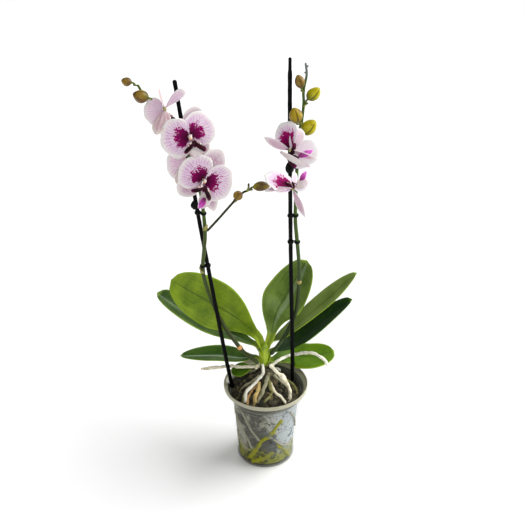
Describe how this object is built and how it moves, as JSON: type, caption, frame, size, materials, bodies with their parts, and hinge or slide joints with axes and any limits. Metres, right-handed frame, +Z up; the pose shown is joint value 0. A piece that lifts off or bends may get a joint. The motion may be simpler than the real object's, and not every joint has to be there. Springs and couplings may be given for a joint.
{
  "type": "potted orchid",
  "caption": "Moth orchid in a clear nursery pot of bark, its arching flower spikes clipped to black stakes, with open flowers, buds, strap leaves and aerial roots.",
  "frame": {"origin": "middle of the pot's flat base, where it rests", "axes": "+Z up along the pot's axis and the stakes; the open flowers face -Y; +X is the side of the taller, upright stake"},
  "size_m": [0.3084, 0.1355, 0.612],
  "materials": {
    "pot_plastic": "clear smoky plastic, misted with condensation",
    "medium": "damp bark chips and old roots",
    "crown": "fresh lime green stem",
    "leaf": "thick waxy leaf, paler along its edge",
    "stem": "dark green stem with a brownish cast",
    "root": "dry silvery velamen",
    "bud": "golden olive, flushed purple brown",
    "petal": "cream edge, lilac veins, dark magenta blotches at the base",
    "lip": "near-black burgundy, waxy",
    "stake_plastic": "moulded black plastic"
  },
  "bodies": {
    "root": {"air_root_left": "root", "air_root_right": "root", "bud_branch_long": "bud", "bud_branch_round": "bud", "bud_left_large": "bud", "bud_left_tip": "bud", "bud_right_1": "bud", "bud_right_2": "bud", "bud_right_3": "bud", "bud_right_4": "bud", "clip_left_lower": "stake_plastic", "clip_left_upper": "stake_plastic", "clip_right_lower": "stake_plastic", "clip_right_middle": "stake_plastic", "clip_right_upper": "stake_plastic", "crown": "crown", "flower_1_lip": "lip", "flower_1_petal_left": "petal", "flower_1_petal_right": "petal", "flower_1_sepals": "petal", "flower_2_lip": "lip", "flower_2_petal_left": "petal", "flower_2_petal_right": "petal", "flower_2_sepals": "petal", "flower_3_lip": "lip", "flower_3_petal_left": "petal", "flower_3_petal_right": "petal", "flower_3_sepals": "petal", "flower_4_lip": "lip", "flower_4_petal_left": "petal", "flower_4_petal_right": "petal", "flower_4_sepals": "petal", "flower_5_lip": "lip", "flower_5_petal_left": "petal", "flower_5_petal_right": "petal", "flower_5_sepals": "petal", "flower_6_lip": "lip", "flower_6_petal_left": "petal", "flower_6_petal_right": "petal", "flower_6_sepals": "petal", "growing_medium": "medium", "leaf_1": "leaf", "leaf_2": "leaf", "leaf_3": "leaf", "leaf_4": "leaf", "leaf_5": "leaf", "leaf_6": "leaf", "leaf_7": "leaf", "leaf_8": "leaf", "pot": "pot_plastic", "root_front_left": "root", "root_front_right": "root", "root_mound_grey": "root", "root_mound_yellow": "root", "side_branch": "stem", "spike_left": "stem", "spike_right": "stem", "stake_left": "stake_plastic", "stake_right": "stake_plastic"}
  },
  "joints": []
}
